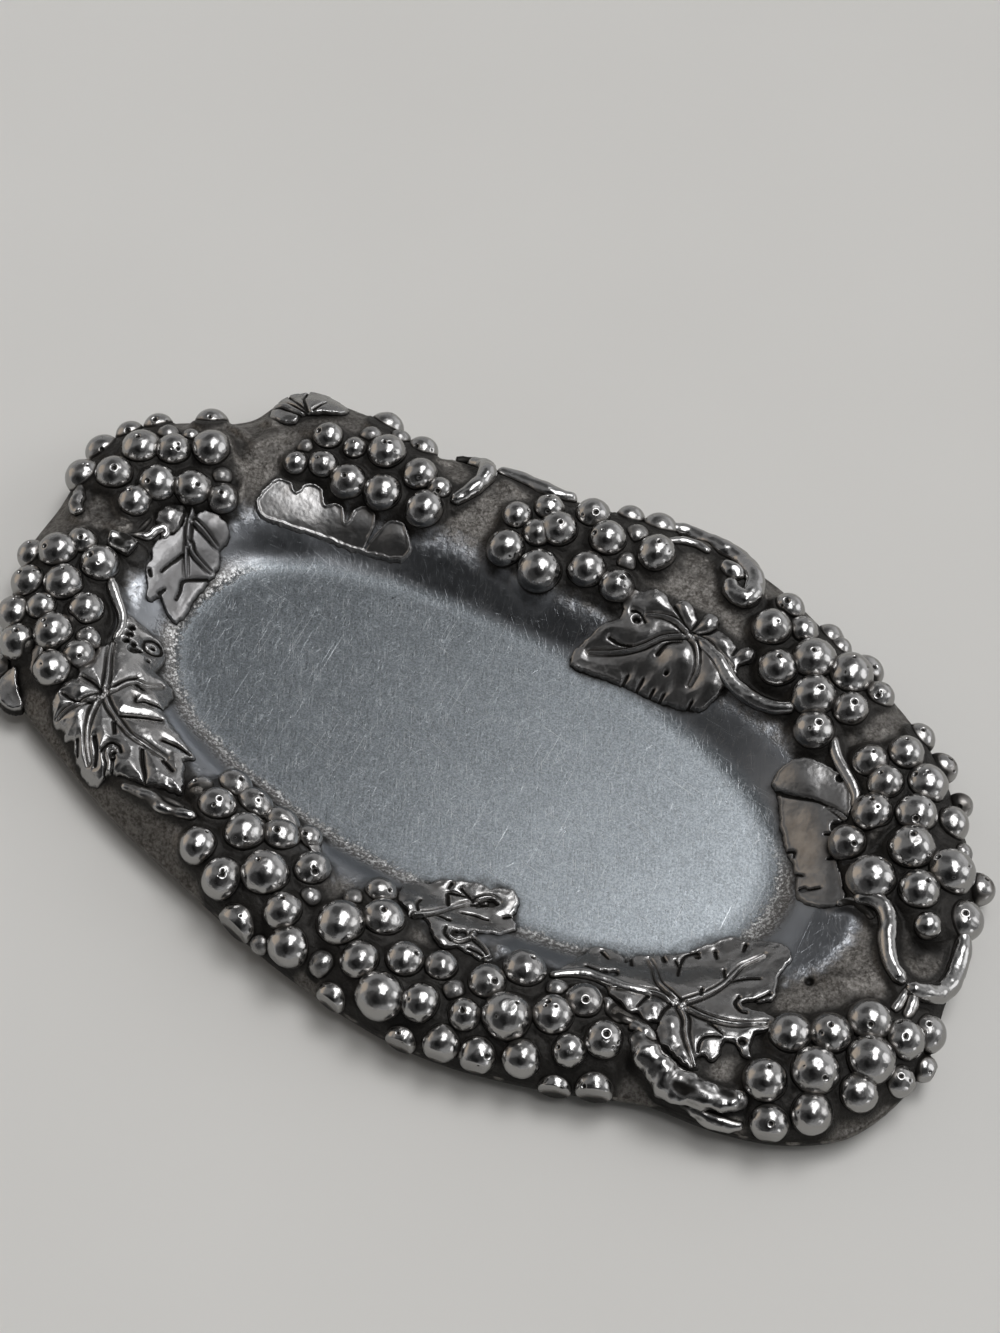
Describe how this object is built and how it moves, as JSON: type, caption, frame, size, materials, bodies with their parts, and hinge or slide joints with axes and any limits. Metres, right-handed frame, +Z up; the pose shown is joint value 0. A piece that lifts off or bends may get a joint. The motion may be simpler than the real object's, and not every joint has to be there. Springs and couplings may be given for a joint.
{
  "type": "oval tray",
  "caption": "Shallow oval cast-metal tray with a plain brushed well and a wide rim of grapes, vine leaves and tendrils in high relief.",
  "frame": {"origin": "middle of the flat foot under the well, on the table", "axes": "+X along the tray, +Y across it, +Z up out of the well"},
  "size_m": [0.2244, 0.1355, 0.0178],
  "materials": {
    "tray_metal": "brushed and scratched in the well, as cast and darkened on the rim",
    "grape_metal": "polished tops with dark patina in the crevices and small casting pits",
    "leaf_metal": "polished veins and lobes with dark patina in the grooves",
    "stem_metal": "polished tops with dark patina at the sides"
  },
  "bodies": {
    "root": {"tray_body": "tray_metal", "grape_bunch_back_left": "grape_metal", "grape_bunch_back_middle": "grape_metal", "grape_bunch_back_right": "grape_metal", "grape_bunch_right_end": "grape_metal", "grape_bunch_front_right": "grape_metal", "grape_bunch_front_mid_right": "grape_metal", "grape_bunch_front_middle": "grape_metal", "grape_bunch_front_left": "grape_metal", "grape_bunch_left_end": "grape_metal", "grape_bunch_left_back": "grape_metal", "leaf_back_left": "leaf_metal", "leaf_back_left_edge": "leaf_metal", "leaf_back_right": "leaf_metal", "leaf_right_end": "leaf_metal", "leaf_front_right": "leaf_metal", "leaf_front_middle": "leaf_metal", "leaf_front_scallops": "leaf_metal", "leaf_front_left": "leaf_metal", "leaf_left_edge": "leaf_metal", "leaf_left_end": "leaf_metal", "stem_back_left": "stem_metal", "stem_back_edge": "stem_metal", "stem_back_right": "stem_metal", "scroll_back_right": "stem_metal", "tendril_right_end": "stem_metal", "vine_loop_right_end": "stem_metal", "stem_front_right": "stem_metal", "stem_front_middle": "stem_metal", "twig_front_left": "stem_metal", "stem_left_end": "stem_metal", "twig_left_edge": "stem_metal"}
  },
  "joints": []
}
